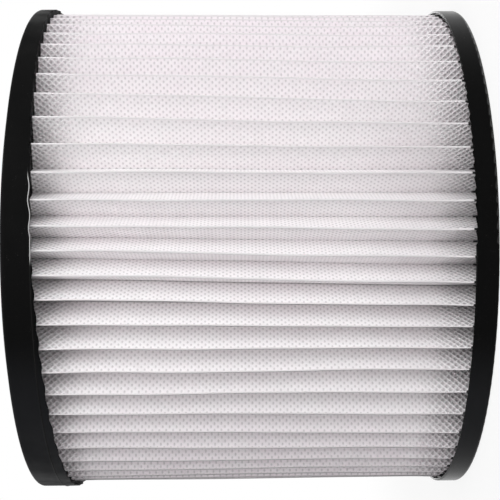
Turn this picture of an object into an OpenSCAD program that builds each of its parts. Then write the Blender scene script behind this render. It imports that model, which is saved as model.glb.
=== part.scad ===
// Pleated cartridge filter for a wet and dry vacuum cleaner.
// It stands on its closed end with its open end up, and the origin is the centre of the foot.
// Lengths are in millimetres and angles in degrees.

/* [Overall] */
// Height from the foot to the face of the open end
height = 155; // [125:1:200]
// Diameter over the tips of the pleats
pack_d = 177.5; // [160:0.5:210]

/* [Pleated sheet] */
// Number of pleats round the pack
pleat_count = 66; // [50:1:76]
// Depth of a pleat, from its outer tip to its inner fold
pleat_depth = 11; // [8:0.5:15]
// Thickness of the sheet
sheet_t = 0.55; // [0.4:0.05:0.8]
// Azimuth of the first tip
first_pleat = 1.9; // [0:0.1:5]
// Angle by which the long waves in the spacing move a tip
long_wave = 0.69; // [0:0.01:1]
// Number of long waves round the pack
long_wave_count = 4; // [2:1:5]
// Azimuth where a long wave moves a tip most
long_wave_at = 63.8; // [0:0.1:90]
// Angle by which the short waves in the spacing move a tip
short_wave = 0.72; // [0:0.01:1]
// Number of short waves round the pack
short_wave_count = 6; // [6:1:8]
// Azimuth where a short wave moves a tip most
short_wave_at = 0.8; // [0:0.1:60]
// Angle by which the inner folds trail the tips
lean = 0.6; // [0:0.1:1]
// Azimuth of the lapped seam that closes the sheet into a ring
seam_at = 90; // [0:5:355]

/* [Open end ring, cast in place] */
// Thickness outside the tips of the pleats
cover_t = 2.25; // [1.5:0.05:4]
// Thickness over the ends of the pleats
over_t = 4; // [3:0.5:5]
// Depth of the hardened surface below the face, at the axis
fill_depth = 9.4; // [8.5:0.1:12]
// Slope of the hardened surface
fill_slope = 2.2; // [0:0.1:3]
// Depth of the mould line below the face
mould_line = 9.3; // [6:0.1:12]
// How far the mould line stands proud
mould_line_h = 0.2; // [0.1:0.05:0.3]
// How far the mouth's lip reaches in past the cage
lip_reach = 2.2; // [1:0.1:5]
// Height of the mouth's straight wall
lip_h = 6; // [5:0.5:9]
// Distance of the sealing bead's middle in from the ring's outside
bead_in = 8.5; // [5:0.5:12]
// Width of the sealing bead
bead_w = 4; // [2:0.5:6]
// Height of the sealing bead
bead_h = 1.5; // [0.5:0.1:2]
// Radius of the ring's rounded edges
ring_edge_r = 1.2; // [0.5:0.1:2]

/* [Closed end cap, moulded] */
// Height of the skirt
skirt_h = 7.5; // [6.5:0.1:12]
// Thickness of the skirt
skirt_t = 1; // [0.8:0.1:2]
// Gap between the tips of the pleats and the skirt
tip_gap = 0.35; // [0.2:0.05:1]
// Thickness of the channel's floor
channel_t = 2.5; // [2:0.1:4]
// Thickness of the collar inside the cage
collar_t = 1.8; // [1.2:0.1:3]
// Height of the collar above the channel's floor
collar_h = 4.5; // [3:0.1:8]
// Thickness of the centre panel
panel_t = 2; // [1.5:0.1:3]
// Height of the centre panel's underside above the foot
panel_rise = 3; // [2:0.1:5]
// Number of stiffening ribs under the panel
rib_count = 12; // [6:1:18]
// Thickness of a stiffening rib
rib_t = 1.6; // [1:0.1:2.5]
// Height by which the ribs stop short of the foot
rib_clear = 0.6; // [0.3:0.1:1]
// Radius of the inner stiffening ring, at its middle
inner_ring_r = 20; // [14:1:28]
// Radius of the outer stiffening ring, at its middle
outer_ring_r = 48; // [36:1:56]
// Radius of the foot's rounded edge
foot_edge_r = 1.2; // [0.5:0.1:2]

/* [Potting in the closed end] */
// Depth of the potting above the channel's floor
potting_h = 3.4; // [2:0.1:3.9]
// Height of the pleats' and the cage's ends above the channel's floor
stand_h = 0.5; // [0.3:0.1:1]

/* [Inner cage, moulded] */
// Gap between the inner folds and the cage
cage_gap = 0.25; // [0.1:0.05:0.5]
// Thickness of the cage
cage_t = 2.3; // [1.8:0.1:3]
// How deep bars and hoops run into each other where they cross
cross_t = 0.5; // [0.3:0.1:1]
// Gap between the cage and the closed end's collar
cage_fit = 0.15; // [0.1:0.05:0.3]
// Number of upright bars
bar_count = 30; // [24:1:36]
// Width of a bar
bar_w = 3; // [2:0.1:4]
// Number of hoops between the end bands
hoop_count = 8; // [6:1:11]
// Height of a hoop
hoop_h = 2.4; // [1.6:0.1:3.5]
// How far the end bands reach past the potting and the cast ring
band_over = 1.5; // [0.5:0.1:4]

/* [Hidden] */
$fn = 96;

pack_r = pack_d / 2;
fold_r = pack_r - pleat_depth;
cage_r = fold_r - cage_gap;
cage_bore_r = cage_r - cage_t;
mouth_r = cage_bore_r - lip_reach;
ring_r = pack_r + cover_t;
skirt_bore_r = pack_r + tip_gap;
cap_r = skirt_bore_r + skirt_t;
bead_r = ring_r - bead_in;
bar_t = (cage_t + cross_t) / 2;
collar_r = cage_bore_r - cage_fit;

low_end = channel_t + stand_h;
high_end = height - over_t;
fill_rise = tan(fill_slope);
deepest_fill = fill_depth + fill_rise * ring_r;
low_band_h = potting_h - stand_h + band_over;
high_band_h = deepest_fill - over_t + band_over;

pitch = 360 / pleat_count;
bend_steps = 4;
bead_edge_r = 0.5;
// A small overlap that keeps cuts and joins clean
past = 1;

function polar(r, a) = [r * cos(a), r * sin(a)];
function unit(v) = v / norm(v);
function outward(a, b) = let (d = unit(b - a)) [d.y, -d.x];
function spaced(a) =
    a + long_wave * cos(long_wave_count * (a - long_wave_at))
    + short_wave * cos(short_wave_count * (a - short_wave_at));
function tip_angle(k) = spaced(first_pleat + k * pitch);
function fold_angle(k) = spaced(first_pleat + (k + 0.5) * pitch) + lean;

// Middle line of the sheet's section: tips and inner folds by turns, anticlockwise
function tip_point(k) = polar(pack_r - sheet_t / 2, tip_angle(k));
function fold_point(k) = polar(fold_r + sheet_t / 2, fold_angle(k));
middle = [for (k = [0 : pleat_count - 1]) each [tip_point(k), fold_point(k)]];
middle_n = len(middle);

// One face of the sheet: side is 1 for the outer face and -1 for the inner one.
// A bend is an arc on the face that it stretches and a sharp corner on the face that it closes.
function bend(i, side) =
    let (p = middle[i])
    let (n0 = outward(middle[(i + middle_n - 1) % middle_n], p))
    let (n1 = outward(p, middle[(i + 1) % middle_n]))
    let (start = atan2(n0.y, n0.x))
    let (sweep = atan2(n0.x * n1.y - n0.y * n1.x, n0 * n1))
    side * sweep > 0
        ? [for (j = [0 : bend_steps]) p + side * polar(sheet_t / 2, start + sweep * j / bend_steps)]
        : [p + side * sheet_t / 2 * (n0 + n1) / (1 + n0 * n1)];
function sheet_face(side) = [for (i = [0 : middle_n - 1]) each bend(i, side)];

// The lapped seam: the sheet's end lies on one flank, from the inner fold nearly to the tip
seam_k = round((seam_at - first_pleat) / pitch) % pleat_count;
seam_share = 0.8;

module seam_section() {
    a = fold_point(seam_k);
    b = tip_point((seam_k + 1) % pleat_count);
    n = -outward(a, b);
    root = a + (b - a) * (1 - seam_share) / 2;
    end = a + (b - a) * (1 + seam_share) / 2;
    polygon([root, end, end + n * sheet_t * 1.5, root + n * sheet_t * 1.5]);
}

module sheet_section() {
    difference() {
        polygon(sheet_face(1));
        polygon(sheet_face(-1));
    }
    seam_section();
}

// The sheet from one height to another, as the solid itself or as the slot that it makes
module sheet(from, to) {
    translate([0, 0, from])
        linear_extrude(to - from)
            sheet_section();
}

module tube(r_in, r_out, from, to) {
    translate([0, 0, from])
        difference() {
            cylinder(r = r_out, h = to - from);
            translate([0, 0, -past])
                cylinder(r = r_in, h = to - from + 2 * past);
        }
}

// What is cut off a square corner to round it. The corner is at the origin, with the material below and
// to the left of it; turn is the angle by which it is turned.
module corner_waste(r, turn = 0) {
    rotate(turn)
        difference() {
            translate([-r, -r])
                square(r + past);
            translate([-r, -r])
                circle(r);
            translate([-r - past, -r - past])
                square([past, r + 3 * past]);
        }
}

// Node: the folded sheet
module pleat_pack() {
    color("#ece6ea")
        sheet(low_end, high_end);
}

// Section of the cast ring before its surface is levelled off. Heights are measured down from the face.
module ring_section() {
    difference() {
        union() {
            translate([mouth_r, -over_t])
                square([ring_r - mouth_r, over_t]);
            translate([mouth_r, -lip_h])
                square([cage_bore_r - mouth_r, lip_h]);
            translate([cage_r, -deepest_fill - past])
                square([ring_r - cage_r, deepest_fill + past]);
        }
        translate([ring_r, 0])
            corner_waste(ring_edge_r);
        translate([mouth_r, 0])
            corner_waste(ring_edge_r, 90);
    }
    translate([bead_r - bead_w / 2, -past])
        square([bead_w, past + bead_h - bead_edge_r]);
    translate([bead_r - bead_w / 2 + bead_edge_r, -past])
        square([bead_w - 2 * bead_edge_r, past + bead_h]);
    for (s = [-1, 1])
        translate([bead_r + s * (bead_w / 2 - bead_edge_r), bead_h - bead_edge_r])
            circle(bead_edge_r);
    translate([ring_r - mould_line_h, -mould_line])
        circle(2 * mould_line_h);
}

// Everything below the hardened surface, outside the cage
module below_surface() {
    translate([0, 0, height - fill_depth])
        rotate([0, -fill_slope, 0])
            difference() {
                translate([-2 * ring_r, -2 * ring_r, -height])
                    cube([4 * ring_r, 4 * ring_r, height]);
                rotate([0, fill_slope, 0])
                    translate([0, 0, -2 * height])
                        cylinder(r = cage_bore_r, h = 4 * height);
            }
}

// Node: the ring cast round the open end, with the sheet's own slot in it
module open_end_cap() {
    color("#1b1a1c")
        difference() {
            translate([0, 0, height])
                rotate_extrude()
                    ring_section();
            below_surface();
            sheet(height - 2 * deepest_fill, high_end);
        }
}

// Section of the moulded cup, from its foot up
module cup_section() {
    rim_r = skirt_t / 2;
    foot_in = collar_r - collar_t;
    difference() {
        union() {
            translate([foot_in, 0])
                square([cap_r - foot_in, channel_t]);
            translate([skirt_bore_r, 0])
                square([skirt_t, skirt_h - rim_r]);
            translate([skirt_bore_r + rim_r, skirt_h - rim_r])
                circle(rim_r);
            translate([foot_in, 0])
                square([collar_t, channel_t + collar_h]);
            translate([0, panel_rise])
                square([foot_in + collar_t / 2, panel_t]);
        }
        translate([cap_r, 0])
            corner_waste(foot_edge_r, -90);
        translate([collar_r, channel_t + collar_h])
            corner_waste(collar_t / 3);
        translate([foot_in, channel_t + collar_h])
            corner_waste(collar_t / 3, 90);
    }
}

// Ribs and rings under the centre panel
module panel_ribs() {
    rib_h = panel_rise - rib_clear;
    for (k = [0 : rib_count - 1])
        rotate(k * 360 / rib_count)
            translate([inner_ring_r, -rib_t / 2, rib_clear])
                cube([collar_r - collar_t / 2 - inner_ring_r, rib_t, rib_h + panel_t / 2]);
    for (r = [inner_ring_r, outer_ring_r])
        tube(r - rib_t / 2, r + rib_t / 2, rib_clear, panel_rise + panel_t / 2);
}

// Node: the moulded cup that closes the other end
module closed_end_cap() {
    color("#19191b") {
        rotate_extrude()
            cup_section();
        panel_ribs();
    }
}

// Node: the cured potting in the cup's channel
module closed_end_potting() {
    color("#121213")
        difference() {
            tube(cage_bore_r, skirt_bore_r, channel_t, channel_t + potting_h);
            tube(cage_bore_r - past, cage_r, low_end, channel_t + potting_h + past);
            sheet(low_end, channel_t + potting_h + past);
        }
}

// Node: the support cage, with bars outside and hoops inside
module inner_cage() {
    bars_from = low_end + low_band_h / 2;
    bars_to = high_end - high_band_h / 2;
    open_from = low_end + low_band_h;
    open_to = high_end - high_band_h;
    row = (open_to - open_from + hoop_h) / (hoop_count + 1);
    color("#242426") {
        tube(cage_bore_r, cage_r, low_end, open_from);
        tube(cage_bore_r, cage_r, open_to, high_end);
        for (k = [1 : hoop_count])
            tube(cage_bore_r, cage_bore_r + bar_t, open_from + k * row - hoop_h, open_from + k * row);
        intersection() {
            tube(cage_r - bar_t, cage_r, bars_from, bars_to);
            for (k = [0 : bar_count - 1])
                rotate((k + 0.5) * 360 / bar_count)
                    translate([cage_bore_r, -bar_w / 2, bars_from])
                        cube([2 * cage_t, bar_w, bars_to - bars_from]);
        }
    }
}

pleat_pack();
open_end_cap();
closed_end_cap();
closed_end_potting();
inner_cage();
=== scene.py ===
"""Looks of the pleated cartridge filter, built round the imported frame. Lengths are in metres."""

import math

import bpy
import numpy as np
from mathutils import Matrix, Vector


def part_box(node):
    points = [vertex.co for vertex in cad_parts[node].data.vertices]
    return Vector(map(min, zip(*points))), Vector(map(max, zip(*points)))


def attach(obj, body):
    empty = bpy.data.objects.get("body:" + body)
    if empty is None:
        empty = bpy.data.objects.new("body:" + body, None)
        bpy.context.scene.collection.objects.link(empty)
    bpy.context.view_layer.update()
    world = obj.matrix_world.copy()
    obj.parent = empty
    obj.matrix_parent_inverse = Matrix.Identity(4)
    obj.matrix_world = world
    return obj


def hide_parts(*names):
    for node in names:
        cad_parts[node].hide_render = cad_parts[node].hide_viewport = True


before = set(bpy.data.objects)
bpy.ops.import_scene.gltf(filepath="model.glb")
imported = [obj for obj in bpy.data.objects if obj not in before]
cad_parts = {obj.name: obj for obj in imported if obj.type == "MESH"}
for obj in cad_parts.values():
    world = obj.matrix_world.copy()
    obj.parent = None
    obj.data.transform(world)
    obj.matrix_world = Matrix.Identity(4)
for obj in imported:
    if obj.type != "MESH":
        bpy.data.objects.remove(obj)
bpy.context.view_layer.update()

MM = 0.001
DEG = math.pi / 180

# Sizes that the frame gives
PACK_LOW, PACK_HIGH = (corner.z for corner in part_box("pleat_pack"))
CAP_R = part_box("closed_end_cap")[1].y
POTTING_LOW, POTTING_TOP = (corner.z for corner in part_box("closed_end_potting"))
POTTING_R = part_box("closed_end_potting")[1].y
CAGE_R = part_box("inner_cage")[1].y
MOULD_LINE_H = 0.2 * MM
RING_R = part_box("open_end_cap")[1].y - MOULD_LINE_H
BEAD_H = 1.5 * MM
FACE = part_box("open_end_cap")[1].z - BEAD_H
MIDDLE = (PACK_LOW + PACK_HIGH) / 2
HALF = (PACK_HIGH - PACK_LOW) / 2

# The pleats, spaced as in the part's source
PLEATS = 66
PLEAT_DEPTH = 11 * MM
PACK_OUTER_R = 88.75 * MM
CAD_SHEET_T = 0.55 * MM
FIRST_PLEAT = 1.9
LEAN = 0.6
LONG_WAVE = (0.69, 4, 63.8)
SHORT_WAVE = (0.72, 6, 0.8)
PITCH = 360 / PLEATS

# The cast ring, as in the part's source, with a hardened surface that sags inwards from its rim
FILL_DEPTH = 9.5 * MM
FILL_SLOPE = math.tan(2.4 * DEG)
FILL_SAG = 0.13
RIM_STAND = 1.4 * MM
STAND_FROM, STAND_FULL = 0.25, -0.05
RIM_WAVE = 0.25 * MM
FLASH_UP = 0.12 * MM
# The span along X, on the −Y side, where the mould line's flash stands out fully and where its pale colour is a
# painted highlight
FLASH_MIDDLE = 9 * MM
FLASH_HALF = 15 * MM
MOUTH_R = CAGE_R - 4.5 * MM
CAGE_BORE_R = CAGE_R - 2.3 * MM
LIP_H = 6 * MM
OVER_T = 4 * MM
BEAD_IN = 8.5 * MM
BEAD_W = 4 * MM
BEAD_EDGE_R = 0.5 * MM
RING_EDGE_R = 1.2 * MM
MOULD_LINE = 9.3 * MM
ROUND_STEPS = 720
SHARP = 40 * DEG

# The potting in the closed end, whose surface sags inwards from the cup's wall
POTTING_SAG = 0.155

# The cloth
CLOTH_T = 0.28 * MM
BEND_R = 0.145 * MM
TIP_R = 88.75 * MM
FOLD_R = 77.8 * MM
FLARE = 0.62 * MM
FLARE_FROM, FLARE_TO = 42 * MM, 108 * MM
BEND_REACH = 1.79
BOND_SPACING = 2.3 * MM
BEND_STEPS = 4
FLANK_SHARES = (0.05, 0.35, 0.65, 0.95)
ROWS = 47

# How far round the axis each pleat runs askew between its two ends, and how far it wanders on its way
SKEW = (1.15, 0.4)
SKEW_WAVE = (0.95, 9, 23)
SKEW_EASE = 1.3
SHIFT = (0.12, 0.5)
SHIFT_TOP = (2.0, -32, 20)
WANDER = 0.13

# The photograph's camera: its place in millimetres, and the directions that are up in the picture and
# behind it
LENS = 78.94
CAMERA_AT = (-0.99, -429.6, 81.36)
CAMERA_UP = (1, 0.0005, -0.0052)
CAMERA_BACK = (0.00056, -1, 0.01041)

# Both black ends carry a painted reflection, a faint pale sheen towards the bottom of the picture, over this height
PAINTED_SHEEN_SPAN = (-27 * MM, -53 * MM)

# The studio: how much of the floor that the camera sees is plain white, near the filter and beyond
# FLOOR_FADE, and what the surround and each lamp add to a white face
FLOOR_WHITE = (0.88, 1.0)
FLOOR_FADE = (0.12, 0.32)
FLOOR_REACH = 4.0
SURROUND = 0.2
LAMPS = (
    ("side_lamp", (0.11, -0.63, 0.77), 1.0, (1.0, 1.0), 0.57),
    ("front_lamp", (0.57, -0.82, 0), 1.0, (1.0, 1.0), 0.76),
    ("back_lamp", (0.12, 0.94, 0.32), 1.2, (1.0, 1.0), 0.6),
)


class Nodes:
    """The node tree of a material or world, built with short calls. A value that is a socket is linked, and
    any other is set."""

    def __init__(self, owner):
        owner.use_nodes = True
        self.owner = owner
        self.tree = owner.node_tree
        self.tree.nodes.clear()

    def add(self, kind, inputs=(), output=0, **settings):
        node = self.tree.nodes.new(kind)
        for key, value in settings.items():
            setattr(node, key, value)
        for key, value in dict(inputs).items():
            socket = node.inputs[key]
            if isinstance(value, bpy.types.NodeSocket):
                self.tree.links.new(value, socket)
            else:
                socket.default_value = value
        return node.outputs[output] if node.outputs else None

    def math(self, operation, *values):
        return self.add("ShaderNodeMath", dict(enumerate(values)), operation=operation)

    def vector(self, operation, *values):
        return self.add("ShaderNodeVectorMath", dict(enumerate(values)), operation=operation)

    def combine(self, x, y, z=0.0):
        return self.add("ShaderNodeCombineXYZ", {0: x, 1: y, 2: z})

    def split(self, vector):
        node = self.tree.nodes.new("ShaderNodeSeparateXYZ")
        self.tree.links.new(vector, node.inputs[0])
        return node.outputs

    def steps(self, value, low, high, to_low=0.0, to_high=1.0):
        """value's way from low to high, smoothed, as a share from to_low to to_high."""
        inputs = {0: value, 1: low, 2: high, 3: to_low, 4: to_high}
        return self.add("ShaderNodeMapRange", inputs, interpolation_type="SMOOTHSTEP")

    def noise(self, vector, scale, detail=2.0, roughness=0.5):
        inputs = {"Vector": vector, "Scale": scale, "Detail": detail, "Roughness": roughness}
        return self.add("ShaderNodeTexNoise", inputs)

    def mix(self, share, a, b):
        node = self.tree.nodes.new("ShaderNodeMix")
        node.data_type = "RGBA"
        for index, value in ((0, share), (6, a), (7, b)):
            if isinstance(value, bpy.types.NodeSocket):
                self.tree.links.new(value, node.inputs[index])
            else:
                node.inputs[index].default_value = value
        return node.outputs[2]

    def bump(self, height, strength, distance, normal=None):
        inputs = {"Height": height, "Strength": strength, "Distance": distance}
        if normal is not None:
            inputs["Normal"] = normal
        return self.add("ShaderNodeBump", inputs)

    def finish(self, **inputs):
        """The surface: a Principled shader with these inputs, whose names have spaces as underscores."""
        inputs = {key.replace("_", " "): value for key, value in inputs.items()}
        shader = self.add("ShaderNodeBsdfPrincipled", inputs)
        self.add("ShaderNodeOutputMaterial", {"Surface": shader})
        return self.owner


def grey(value, warmth=0.0):
    return (value * (1 + warmth), value, value * (1 - warmth), 1.0)


def below_fill(n, x, z, inward):
    """How far a point lies below the cast ring's hardened surface, as a socket."""
    rim = n.math("MULTIPLY_ADD", x, FILL_SLOPE, FACE - FILL_DEPTH)
    stand = n.steps(x, STAND_FROM * TIP_R, STAND_FULL * TIP_R, 0.0, RIM_STAND)
    surface = n.math("MULTIPLY_ADD", inward, FILL_SAG, n.math("ADD", rim, stand))
    return n.math("SUBTRACT", surface, z)


def cloth_material():
    n = Nodes(bpy.data.materials.new("filter_cloth"))
    place = n.split(n.add("ShaderNodeTexCoord", output=3))
    sheet = n.add("ShaderNodeUVMap", uv_map="cloth")
    along, up = n.split(sheet)[:2]

    # A square lattice of bond points, stood on its corner
    wander = n.math("MULTIPLY", n.math("SUBTRACT", n.noise(sheet, 330, 1), 0.5), 0.5 * MM)
    along_w = n.math("ADD", along, wander)
    s = n.math("DIVIDE", n.math("ADD", along_w, up), BOND_SPACING)
    t = n.math("DIVIDE", n.math("SUBTRACT", up, along_w), BOND_SPACING)
    wave_s = n.math("ABSOLUTE", n.math("COSINE", n.math("MULTIPLY", s, math.pi)))
    wave_t = n.math("ABSOLUTE", n.math("COSINE", n.math("MULTIPLY", t, math.pi)))
    near_point = n.math("MULTIPLY", wave_s, wave_t)
    across = n.math("COSINE", n.math("MULTIPLY", up, 2 * math.pi / BOND_SPACING))
    round_it = n.math("COSINE", n.math("MULTIPLY", along_w, 2 * math.pi / BOND_SPACING))
    oval = n.math("ADD", n.math("MULTIPLY", across, 0.68), n.math("MULTIPLY", round_it, 0.32))
    point = n.steps(n.math("ABSOLUTE", oval), 0.5, 0.95)
    cell = n.steps(near_point, 0.16, 0.5)

    # Pressed deeper towards both ends, where the cloth is held, into cells with sharp raised lines between
    from_end = n.math("MINIMUM", n.math("SUBTRACT", up, PACK_LOW), n.math("SUBTRACT", PACK_HIGH, up))
    held = n.steps(from_end, 20 * MM, 6 * MM)
    pressed = n.math("MULTIPLY", held, n.steps(up, MIDDLE - HALF / 2, MIDDLE + HALF / 2, 1.25, 1.0))
    # How far painted shade on the cells reaches from both ends, and how strong it is, stronger towards −X
    reach = n.steps(place[0], 50 * MM, -50 * MM, 14 * MM, 20 * MM)
    shaded = n.math("MULTIPLY", n.steps(from_end, reach, 5 * MM), n.steps(place[0], 70 * MM, -70 * MM, 0.5, 1.1))
    fibres = n.noise(n.vector("MULTIPLY", sheet, (1.0, 0.35, 1.0)), 5200, 3, 0.65)
    lint = n.noise(n.vector("MULTIPLY", sheet, (0.4, 1.0, 1.0)), 3600, 3, 0.65)
    cloud = n.noise(sheet, 95, 3, 0.6)
    blush = n.noise(sheet, 22, 2, 0.5)
    relief = n.math("MULTIPLY_ADD", pressed, 1.2, 0.35)

    colour = n.mix(n.steps(blush, 0.35, 0.65), (0.957, 0.928, 0.942, 1), (0.957, 0.917, 0.937, 1))
    from_level = n.math("ABSOLUTE", place[0])
    # Pinker towards +X and −X: a painted tint that stands for coloured light
    colour = n.mix(n.steps(from_level, 25 * MM, 88 * MM), colour, (0.957, 0.882, 0.927, 1))
    colour = n.mix(n.steps(cloud, 0.3, 0.7, 0.0, 0.4), colour, (0.97, 0.953, 0.96, 1))
    colour = n.mix(n.steps(lint, 0.45, 0.75, 0.0, 0.25), colour, (0.985, 0.972, 0.978, 1))

    outward = n.math("SQRT", n.math("ADD", n.math("POWER", place[0], 2), n.math("POWER", place[1], 2)))
    inward = n.math("SUBTRACT", TIP_R, outward)
    colour = n.mix(n.steps(inward, 2 * MM, 9 * MM, 0.0, 0.5), colour, (0.957, 0.94, 0.944, 1))

    # Painted shade beside the closed end's middle, and between the pleats at the open end's lower side
    painted_end_shade = n.math("MULTIPLY", n.steps(up, 50 * MM, 16 * MM), n.steps(from_level, 65 * MM, 15 * MM, 0.0, 0.22))
    colour = n.mix(painted_end_shade, colour, (0.55, 0.52, 0.535, 1))
    painted_end_shade = n.math("MULTIPLY", n.steps(up, PACK_HIGH - 34 * MM, PACK_HIGH - 12 * MM), n.steps(inward, 0.5 * MM, 6 * MM))
    painted_end_shade = n.math("MULTIPLY", painted_end_shade, n.steps(place[0], 10 * MM, -25 * MM, 0.0, 0.3))
    colour = n.mix(painted_end_shade, colour, (0.5, 0.47, 0.485, 1))

    # Bends have few bond points to see. Ridges are greyed with painted shade that tones down their highlight, less
    # near both ends, and folds hold a thin dark line of painted shade, wider and solid on the low side
    from_bend = n.split(n.add("ShaderNodeUVMap", uv_map="bends"))[0]
    flat = n.steps(from_bend, 0.0, 0.22 * MM)
    on_ridge = n.steps(inward, 6 * MM, 4 * MM)
    off_ridge = n.math("SUBTRACT", 1.0, n.math("MULTIPLY", on_ridge, n.math("SUBTRACT", 1.0, flat)))
    pits = n.math("MULTIPLY_ADD", n.math("SUBTRACT", near_point, 0.4), off_ridge, 0.4)
    height = n.math("SUBTRACT", n.math("MULTIPLY", fibres, 0.12), n.math("MULTIPLY", pits, relief))
    colour = n.mix(n.math("MULTIPLY", n.math("MULTIPLY", point, off_ridge), 0.6), colour, (0.52, 0.49, 0.505, 1))
    # The cells near both ends are darkened with painted shade
    painted_cell_shade = n.math("MULTIPLY", n.math("MULTIPLY", cell, off_ridge), n.math("MULTIPLY", shaded, 0.36))
    colour = n.mix(painted_cell_shade, colour, (0.25, 0.23, 0.24, 1))
    painted_ridge_shade = n.math("MULTIPLY", n.steps(from_bend, 0.4 * MM, 0.0), on_ridge)
    painted_ridge_shade = n.math("MULTIPLY", painted_ridge_shade, n.math("MULTIPLY_ADD", held, -0.5, 0.7))
    colour = n.mix(painted_ridge_shade, colour, (0.66, 0.635, 0.645, 1))
    in_fold = n.steps(inward, 6 * MM, 8 * MM)
    dotted = n.math("MULTIPLY", n.steps(from_bend, 0.36 * MM, 0.0), n.steps(near_point, 0.2, 0.9, 0.1, 0.65))
    low_side = n.steps(place[0], -4 * MM, -14 * MM, 0.0, 0.55)
    solid = n.math("MULTIPLY", n.steps(from_bend, 0.8 * MM, 0.2 * MM), low_side)
    painted_crease_shade = n.math("MULTIPLY", n.math("MAXIMUM", dotted, solid), in_fold)
    colour = n.mix(painted_crease_shade, colour, (0.3, 0.29, 0.29, 1))

    # On the low side each ridge's underside, where it faces down, carries a thin dark line of painted shade
    facing = n.split(n.add("ShaderNodeNewGeometry", output=1))
    painted_underside_shade = n.math("MULTIPLY", n.steps(facing[0], -0.2, -0.55), n.steps(from_bend, 0.5 * MM, 0.1 * MM))
    painted_underside_shade = n.math("MULTIPLY", painted_underside_shade, n.math("MULTIPLY", on_ridge, n.steps(place[0], -8 * MM, -18 * MM, 0.0, 0.85)))
    colour = n.mix(painted_underside_shade, colour, (0.17, 0.165, 0.17, 1))

    # Black just above both cast surfaces, furthest at the bends: partly compound drawn in, partly painted shade where
    # the pleats meet the cast surfaces
    creep = n.math("MULTIPLY", n.noise(sheet, 900, 2), 0.35 * MM)
    potting = n.math("MULTIPLY_ADD", inward, -POTTING_SAG, POTTING_TOP)
    drawn_compound_and_shade = n.math("MULTIPLY_ADD", n.noise(sheet, 260, 1), 0.9 * MM, 1.4 * MM)
    fold_width = n.math("MULTIPLY_ADD", in_fold, 0.9 * MM, 0.7 * MM)
    drawn_compound_and_shade = n.math("MULTIPLY", n.steps(from_bend, fold_width, 0.3 * MM), drawn_compound_and_shade)
    over_potting = n.math("SUBTRACT", n.math("ADD", n.math("SUBTRACT", place[2], potting), 0.2 * MM), drawn_compound_and_shade)
    over_ring = below_fill(n, place[0], place[2], inward)
    over = n.math("SUBTRACT", n.math("MINIMUM", over_potting, over_ring), creep)
    colour = n.mix(n.steps(over, 0.15 * MM, -0.15 * MM), colour, grey(0.02))

    normal = n.bump(height, 0.9, 0.32 * MM)
    return n.finish(
        Base_Color=colour,
        Roughness=0.85,
        Specular_IOR_Level=0.2,
        Sheen_Weight=0.1,
        Sheen_Roughness=0.5,
        Subsurface_Weight=0.35,
        Subsurface_Radius=(1.0, 0.9, 0.93),
        Subsurface_Scale=0.5 * MM,
        Normal=normal,
    )


def scratches(n, place, scale, stretch):
    """Fine scratches that run round the axis, as a thin mask."""
    angle = n.math("ARCTAN2", place[1], place[0])
    along = n.combine(n.math("MULTIPLY", angle, CAP_R), n.math("MULTIPLY", place[2], stretch))
    lines = n.noise(along, scale, 4, 0.7)
    return n.steps(lines, 0.66, 0.74)


def black_material(name, base, roughness, specular, moulded=False):
    """Black plastic or cast rubber: clouded, finely scratched and a little dusty, and pale on part of the thin flash
    of a mould line, where the pale colour is a painted highlight."""
    n = Nodes(bpy.data.materials.new(name))
    coordinates = n.add("ShaderNodeTexCoord", output=3)
    place = n.split(coordinates)
    cloud = n.noise(coordinates, 60, 4, 0.6)
    grain = n.noise(coordinates, 2600, 2, 0.5)
    marks = scratches(n, place, 160, 14)
    specks = n.steps(n.noise(coordinates, 1500, 1), 0.74, 0.80)

    colour = n.mix(cloud, grey(base * 0.8, 0.02), grey(base * 1.3, -0.03))
    colour = n.mix(n.math("MULTIPLY", marks, 0.25), colour, grey(base * 4))
    colour = n.mix(n.math("MULTIPLY", specks, 0.35), colour, grey(0.05, 0.05))
    # Painted reflection: a paler, bluish black towards −X
    painted_sheen = n.steps(place[0], *PAINTED_SHEEN_SPAN)
    colour = n.mix(painted_sheen, colour, (0.0122, 0.0126, 0.0140, 1))
    if moulded:
        outward = n.math("SQRT", n.math("ADD", n.math("POWER", place[0], 2), n.math("POWER", place[1], 2)))
        # The flash is pale with a painted highlight over its span on the −Y side, and dark grey elsewhere
        on_line = n.steps(outward, RING_R + 0.05 * MM, RING_R + 0.12 * MM)
        from_middle = n.math("ABSOLUTE", n.math("SUBTRACT", place[0], FLASH_MIDDLE))
        painted_flash_highlight = n.math("MULTIPLY", n.steps(from_middle, FLASH_HALF, FLASH_HALF - 3 * MM), n.steps(place[1], 0.0, -MM))
        colour = n.mix(on_line, colour, n.mix(painted_flash_highlight, grey(0.012), grey(0.5)))
    rough = n.steps(cloud, 0.3, 0.7, roughness * 0.8, roughness * 1.25)
    rough = n.math("MULTIPLY_ADD", marks, 0.12, rough)
    height = n.math("ADD", n.math("MULTIPLY", grain, 0.5), n.math("MULTIPLY", cloud, 3.0))
    height = n.math("SUBTRACT", height, n.math("MULTIPLY", marks, 0.5))
    return n.finish(
        Base_Color=colour,
        Roughness=rough,
        Specular_IOR_Level=specular,
        Normal=n.bump(height, 0.35, 0.04 * MM),
    )


def smooth(x):
    x = np.clip(x, 0, 1)
    return x * x * (3 - 2 * x)


def pleat_corner_angles():
    """The azimuths in degrees of the tips and the inner folds, as the part's source has them."""
    def moved(angle):
        waves = (size * np.cos(count * (angle - at) * DEG) for size, count, at in (LONG_WAVE, SHORT_WAVE))
        return angle + sum(waves)

    k = np.arange(PLEATS)
    return moved(FIRST_PLEAT + k * PITCH), moved(FIRST_PLEAT + (k + 0.5) * PITCH) + LEAN


def row_heights():
    """Heights of the mesh's rows: closer together near both ends, where the cloth is drawn in."""
    share = np.linspace(0, 1, ROWS)
    eased = share - 0.11 * np.sin(2 * math.pi * share)
    return PACK_LOW + (PACK_HIGH - PACK_LOW) * eased


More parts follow.
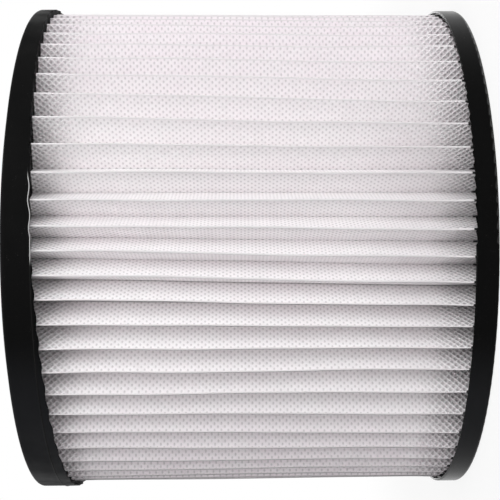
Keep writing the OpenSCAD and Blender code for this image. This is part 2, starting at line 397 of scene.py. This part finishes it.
def section(tips, folds, tip_r, fold_r):
    """One row's middle line, as points and outward normals, anticlockwise: tips and inner folds by turns,
    each an arc of BEND_R, with straight flanks between them."""
    corners = np.empty((2 * PLEATS, 2))
    corners[0::2] = np.c_[np.cos(tips * DEG), np.sin(tips * DEG)] * tip_r[:, None]
    corners[1::2] = np.c_[np.cos(folds * DEG), np.sin(folds * DEG)] * fold_r[:, None]
    to_next = np.roll(corners, -1, 0) - corners
    length = np.linalg.norm(to_next, axis=1)
    ahead = to_next / length[:, None]
    behind = np.roll(ahead, 1, 0)
    normal_ahead = np.c_[ahead[:, 1], -ahead[:, 0]]
    normal_behind = np.roll(normal_ahead, 1, 0)
    turn = behind[:, 0] * ahead[:, 1] - behind[:, 1] * ahead[:, 0]
    sweep = np.arctan2(turn, (behind * ahead).sum(1))
    cut = BEND_R * np.tan(np.abs(sweep) / 2)
    side = np.sign(sweep)
    centre = corners - behind * cut[:, None] - (normal_behind * (side * BEND_R)[:, None])
    points, normals = [], []
    for step in range(BEND_STEPS):
        angle = sweep * step / (BEND_STEPS - 1)
        c, s = np.cos(angle)[:, None], np.sin(angle)[:, None]
        turned = np.c_[
            c * normal_behind[:, :1] - s * normal_behind[:, 1:],
            s * normal_behind[:, :1] + c * normal_behind[:, 1:],
        ]
        points.append(centre + turned * (side * BEND_R)[:, None])
        normals.append(turned)
    start = corners + ahead * cut[:, None]
    end = np.roll(corners, -1, 0) - ahead * np.roll(cut, -1)[:, None]
    for share in FLANK_SHARES:
        points.append(start + (end - start) * share)
        normals.append(normal_ahead)
    return np.stack(points, 1).reshape(-1, 2), np.stack(normals, 1).reshape(-1, 2)


def skewed(angles, z):
    """Azimuths of ridges or folds at a height. Each runs a little askew between the two ends, and they lie
    further round towards the top of the picture."""
    lean, rise = SKEW
    size, count, at = SKEW_WAVE
    upward = np.cos(angles * DEG)
    skew = lean + rise * upward + size * np.cos(count * (angles - at) * DEG)
    share = math.sin(SKEW_EASE * (z - MIDDLE) / HALF) / math.sin(SKEW_EASE)
    crowded, crowd_at, crowd_width = SHIFT_TOP
    from_crowd = (angles - crowd_at + 180) % 360 - 180
    shift = SHIFT[0] + SHIFT[1] * upward + crowded * np.exp(-(from_crowd / crowd_width) ** 2)
    return angles + shift + skew * share / 2


def pleated_cloth():
    """The folded sheet, its ridges a little askew and wandering along the axis."""
    rng = np.random.default_rng(11)
    tips, folds = pleat_corner_angles()
    phase = rng.uniform(0, 2 * math.pi, (4, PLEATS))
    size = rng.uniform(0.5, 1.0, (4, PLEATS))
    heights = row_heights()
    columns = 2 * PLEATS * (BEND_STEPS + len(FLANK_SHARES))
    corner_r = TIP_R - CLOTH_T / 2 + BEND_REACH * BEND_R
    fold_corner_r = FOLD_R + CLOTH_T / 2 - BEND_REACH * BEND_R
    outer = np.empty((ROWS, columns, 3))
    inner = np.empty((ROWS, columns, 3))
    for row, z in enumerate(heights):
        free = smooth((z - POTTING_TOP) / (12 * MM)) * smooth((FACE - FILL_DEPTH - z) / (12 * MM))
        own = size[0] * np.sin(2 * math.pi * z / 0.095 + phase[0])
        own += 0.4 * size[1] * np.sin(2 * math.pi * z / 0.041 + phase[1])
        own_fold = 0.5 * size[2] * np.sin(2 * math.pi * z / 0.08 + phase[2])
        lift = 0.15 * MM * (size[3] * np.sin(2 * math.pi * z / 0.12 + phase[3]) - 1)
        flare = FLARE * smooth((z - FLARE_FROM) / (FLARE_TO - FLARE_FROM))
        points, normals = section(
            skewed(tips, z) + WANDER * own * free,
            skewed(folds, z) + WANDER * own_fold * free,
            np.full(PLEATS, corner_r + flare) + lift * free,
            np.full(PLEATS, fold_corner_r),
        )
        for face, side in ((outer, 1), (inner, -1)):
            face[row, :, :2] = points + normals * side * CLOTH_T / 2
            face[row, :, 2] = z
    return sheet_mesh(outer, inner, heights)


def quads(low, high):
    """Faces between two closed rows of points, low and high, seen from the side where low runs rightwards."""
    return np.stack([low, np.roll(low, -1, -1), np.roll(high, -1, -1), high], -1).reshape(-1, 4)


def sheet_mesh(outer, inner, heights):
    """A closed mesh of the sheet, with the map that its weave follows: length along the sheet, and height."""
    rows, columns = outer.shape[:2]
    front = np.arange(rows * columns).reshape(rows, columns)
    back = front + rows * columns
    faces = np.concatenate([
        quads(front[:-1], front[1:]),
        quads(back[1:], back[:-1]),
        quads(back[0], front[0]),
        quads(front[-1], back[-1]),
    ])
    mesh = bpy.data.meshes.new("filter_cloth")
    points = np.concatenate([outer.reshape(-1, 3), inner.reshape(-1, 3)])
    mesh.from_pydata(points.tolist(), [], faces.tolist())

    step = np.linalg.norm(np.diff(outer[rows // 2], axis=0, append=outer[rows // 2, :1]), axis=1)
    along = np.concatenate([[0], np.cumsum(step)])
    column = faces % columns
    column[:, 1:3] += columns * (column[:, 1:3] < column[:, :1])
    uv = np.stack([along[column], heights[faces // columns % rows]], -1)
    mesh.uv_layers.new(name="cloth").data.foreach_set("uv", uv.ravel())
    shares = np.concatenate([np.zeros(BEND_STEPS), np.minimum(FLANK_SHARES, 1 - np.array(FLANK_SHARES))])
    from_bend = np.tile(shares * PLEAT_DEPTH, 2 * PLEATS)[faces % columns]
    uv = np.stack([from_bend, from_bend * 0], -1)
    mesh.uv_layers.new(name="bends").data.foreach_set("uv", uv.ravel())
    mesh.polygons.foreach_set("use_smooth", [True] * len(faces))
    mesh.update()
    cloth = bpy.data.objects.new("folded_cloth", mesh)
    bpy.context.scene.collection.objects.link(cloth)
    return cloth, along[-1]


def arc(centre, radius, start, end, steps=6):
    """Points on an arc of a section, from one angle in degrees to another."""
    angles = np.linspace(start, end, steps) * DEG
    return [(centre[0] + radius * math.cos(a), centre[1] + radius * math.sin(a)) for a in angles]


def cast_mesh(name, fixed, surface):
    """A closed ring: the fixed part of its section, and then its free surface, which differs all round."""
    azimuths = np.arange(ROUND_STEPS) * 2 * math.pi / ROUND_STEPS
    radii = np.concatenate([np.full(ROUND_STEPS, 1)[None] * r for r, _ in fixed] + [surface[0]])
    heights = np.concatenate([np.full(ROUND_STEPS, 1)[None] * z for _, z in fixed] + [surface[1]])
    points = np.stack([radii * np.cos(azimuths), radii * np.sin(azimuths), heights], -1)
    index = np.arange(points.shape[0] * ROUND_STEPS).reshape(-1, ROUND_STEPS)
    faces = quads(index, np.roll(index, -1, 0))
    mesh = bpy.data.meshes.new(name)
    mesh.from_pydata(points.reshape(-1, 3).tolist(), [], faces.tolist())
    mesh.polygons.foreach_set("use_smooth", [True] * len(faces))
    mesh.set_sharp_from_angle(angle=SHARP)
    mesh.update()
    piece = bpy.data.objects.new(name, mesh)
    bpy.context.scene.collection.objects.link(piece)
    return piece


def scallops(azimuths, size):
    """A rim's waves with the pleats: size towards the open end at each ridge, and back between ridges."""
    tips = np.sort(pleat_corner_angles()[0] % 360)
    tips = np.concatenate([tips[-1:] - 360, tips, tips[:1] + 360])
    turns = np.interp(np.degrees(azimuths), tips, np.arange(len(tips)))
    return size * np.cos(2 * math.pi * turns)


def ripples(azimuths, seed, size):
    """Small random unevenness round a cast surface."""
    rng = np.random.default_rng(seed)
    counts = np.arange(3, 60)
    phase = rng.uniform(0, 2 * math.pi, len(counts))
    waves = np.sin(counts[:, None] * azimuths + phase[:, None]) / np.sqrt(counts)[:, None]
    return size * waves.sum(0)


def dress(node, material):
    """Gives a CAD node its material."""
    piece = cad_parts[node]
    piece.data.materials.clear()
    piece.data.materials.append(material)
    return piece


def cast_ring():
    """The ring cast round the open end. Its surface is level but for the tilt at which it hardened, stands
    up against the mould's wall on the low side and sags between the pleats."""
    azimuths = np.arange(ROUND_STEPS) * 2 * math.pi / ROUND_STEPS
    bead_r = RING_R - BEAD_IN
    bead_side = BEAD_W / 2 - BEAD_EDGE_R
    bead_top = FACE + BEAD_H - BEAD_EDGE_R
    edge = RING_EDGE_R
    fixed = [
        (CAGE_R, FACE - OVER_T),
        (CAGE_BORE_R, FACE - OVER_T),
        (CAGE_BORE_R, FACE - LIP_H),
        (MOUTH_R, FACE - LIP_H),
        *arc((MOUTH_R + edge, FACE - edge), edge, 180, 90),
        (bead_r - BEAD_W / 2, FACE),
        *arc((bead_r - bead_side, bead_top), BEAD_EDGE_R, 180, 90),
        *arc((bead_r + bead_side, bead_top), BEAD_EDGE_R, 90, 0),
        (bead_r + BEAD_W / 2, FACE),
        *arc((RING_R - edge, FACE - edge), edge, 90, 0),
        (RING_R, FACE - edge - 0.4 * MM),
    ]
    low_side = smooth((STAND_FROM - np.cos(azimuths)) / (STAND_FROM - STAND_FULL))
    uneven = ripples(azimuths, 5, 0.035 * MM) + scallops(azimuths, RIM_WAVE)
    rim = FACE - FILL_DEPTH + FILL_SLOPE * RING_R * np.cos(azimuths) + uneven
    line = FACE - MOULD_LINE
    across = np.sin(azimuths) < 0
    flash = across * smooth(1 + (FLASH_HALF - np.abs(RING_R * np.cos(azimuths) - FLASH_MIDDLE)) / (2 * MM))
    reached = np.maximum(smooth((line - rim) / (0.5 * MM)), flash)
    wavering = np.maximum(line, rim + FLASH_UP + ripples(azimuths, 4, 0.015 * MM))
    rows = [(RING_R + 0 * rim, wavering + 0.7 * MM), (RING_R + 0 * rim, wavering + 0.3 * MM)]
    for shift, out in ((0.14, 0.4), (0.08, 0.9), (0.0, 1.0), (-0.08, 0.9), (-0.14, 0.4)):
        rows.append((RING_R + MOULD_LINE_H * out * reached, wavering + shift * MM))
    rows.append((RING_R + 0 * rim, np.minimum(rim + 0.06 * MM, wavering - 0.16 * MM)))
    rows.append((RING_R - 0.02 * MM + 0 * rim, rim + 0.02 * MM))
    rows.append((RING_R - 0.12 * MM + 0 * rim, rim))
    stand = RIM_STAND * low_side
    for inward in (0.5, 1.0, 1.5, 2.0, 3.0, 4.5, 6.0, 7.5, 9.0, 10.5, 12.0, 13.5):
        r = RING_R - inward * MM
        fall = stand * smooth(inward / 1.6) + FILL_SAG * max(inward * MM - 1.5 * MM, 0)
        level = FACE - FILL_DEPTH + FILL_SLOPE * r * np.cos(azimuths) + fall
        rows.append((r + 0 * rim, level + ripples(azimuths, 6 + int(inward), 0.02 * MM)))
    surface = [np.stack(part) for part in zip(*rows)]
    return cast_mesh("cast_ring", fixed, surface)


def cup_potting():
    """The potting in the closed end, which climbs the cup's wall a little and sags towards the cage."""
    azimuths = np.arange(ROUND_STEPS) * 2 * math.pi / ROUND_STEPS
    fixed = [
        (CAGE_R, PACK_LOW),
        (CAGE_BORE_R, PACK_LOW),
        (CAGE_BORE_R, POTTING_LOW),
        (POTTING_R, POTTING_LOW),
    ]
    rows = []
    for inward in (0.0, 0.3, 0.8, 1.5, 3.0, 5.0, 7.0, 9.0, 11.0, 11.6):
        level = POTTING_TOP - POTTING_SAG * inward * MM
        uneven = ripples(azimuths, 30 + int(inward), 0.05 * MM) * smooth(inward / 3)
        rows.append((POTTING_R - inward * MM + 0 * azimuths, np.minimum(level + uneven, POTTING_TOP)))
    surface = [np.stack(part) for part in zip(*rows)]
    return cast_mesh("cup_potting", fixed, surface)


def camera():
    """The photograph's camera: level with the filter's middle, turned so that +X is up in the picture."""
    data = bpy.data.cameras.new("camera")
    data.sensor_width = 36
    data.lens = LENS
    data.clip_end = 10
    piece = bpy.data.objects.new("camera", data)
    bpy.context.scene.collection.objects.link(piece)
    back = Vector(CAMERA_BACK).normalized()
    up = Vector(CAMERA_UP)
    right = up.cross(back).normalized()
    up = back.cross(right)
    turned = Matrix((right, up, back)).transposed().to_4x4()
    piece.matrix_world = Matrix.Translation(Vector(CAMERA_AT) * MM) @ turned
    bpy.context.scene.camera = piece


def area_lamp(name, towards, distance, size, white):
    """A square lamp that lights a face turned to it at the filter's middle to white times its colour."""
    data = bpy.data.lights.new(name, "AREA")
    data.shape = "RECTANGLE"
    data.size, data.size_y = size
    data.energy = white * math.pi * math.pi * distance**2
    piece = bpy.data.objects.new(name, data)
    bpy.context.scene.collection.objects.link(piece)
    direction = Vector(towards).normalized()
    piece.location = Vector((0, 0, MIDDLE)) + direction * distance
    piece.rotation_mode = "QUATERNION"
    piece.rotation_quaternion = direction.to_track_quat("Z", "Y")


def seen(n):
    """1 for rays that show the background itself: camera, glossy and transmission rays."""
    path = n.tree.nodes.new("ShaderNodeLightPath").outputs
    both = n.math("MAXIMUM", path["Is Camera Ray"], path["Is Glossy Ray"])
    return n.math("MAXIMUM", both, path["Is Transmission Ray"])


def studio():
    """A pale floor, a white surround, and soft lamps beside, above and behind the filter."""
    n = Nodes(bpy.data.materials.new("floor"))
    diffuse = n.add("ShaderNodeBsdfDiffuse", {"Color": grey(0.9)})
    white = n.add("ShaderNodeEmission", {"Color": grey(1.0), "Strength": 1.0})
    place = n.add("ShaderNodeTexCoord", output=3)
    from_axis = n.add("ShaderNodeVectorMath", {0: place}, output=1, operation="LENGTH")
    share = n.math("MULTIPLY", seen(n), n.steps(from_axis, *FLOOR_FADE, *FLOOR_WHITE))
    mixed = n.add("ShaderNodeMixShader", {0: share, 1: diffuse, 2: white})
    n.add("ShaderNodeOutputMaterial", {"Surface": mixed})
    mesh = bpy.data.meshes.new("floor")
    corners = [(x * FLOOR_REACH, y * FLOOR_REACH, 0) for x, y in ((-1, -1), (1, -1), (1, 1), (-1, 1))]
    mesh.from_pydata(corners, [], [(0, 1, 2, 3)])
    mesh.materials.append(n.owner)
    floor = bpy.data.objects.new("floor", mesh)
    bpy.context.scene.collection.objects.link(floor)

    world = bpy.data.worlds.new("surround")
    bpy.context.scene.world = world
    n = Nodes(world)
    strength = n.add("ShaderNodeMapRange", {0: seen(n), 3: SURROUND, 4: 1.0})
    background = n.add("ShaderNodeBackground", {"Color": grey(1.0), "Strength": strength})
    n.add("ShaderNodeOutputWorld", {"Surface": background})

    for lamp in LAMPS:
        area_lamp(*lamp)


camera()
studio()

cloth, arc_length = pleated_cloth()
cloth.data.materials.append(cloth_material())
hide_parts("pleat_pack")
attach(cloth, "root")

ring = cast_ring()
ring.data.materials.append(black_material("cast_black", 0.003, 0.55, 0.03, moulded=True))
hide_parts("open_end_cap")
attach(ring, "root")

potting = cup_potting()
potting.data.materials.append(black_material("potting_black", 0.003, 0.3, 0.06))
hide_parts("closed_end_potting")
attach(potting, "root")

dress("closed_end_cap", black_material("moulded_black", 0.002, 0.2, 0.04))
dress("inner_cage", black_material("cage_black", 0.008, 0.45, 0.2))

# Light reaches the bottom of a white fold only by many bounces
bpy.context.scene.cycles.diffuse_bounces = 12
bpy.context.scene.view_settings.view_transform = "Standard"
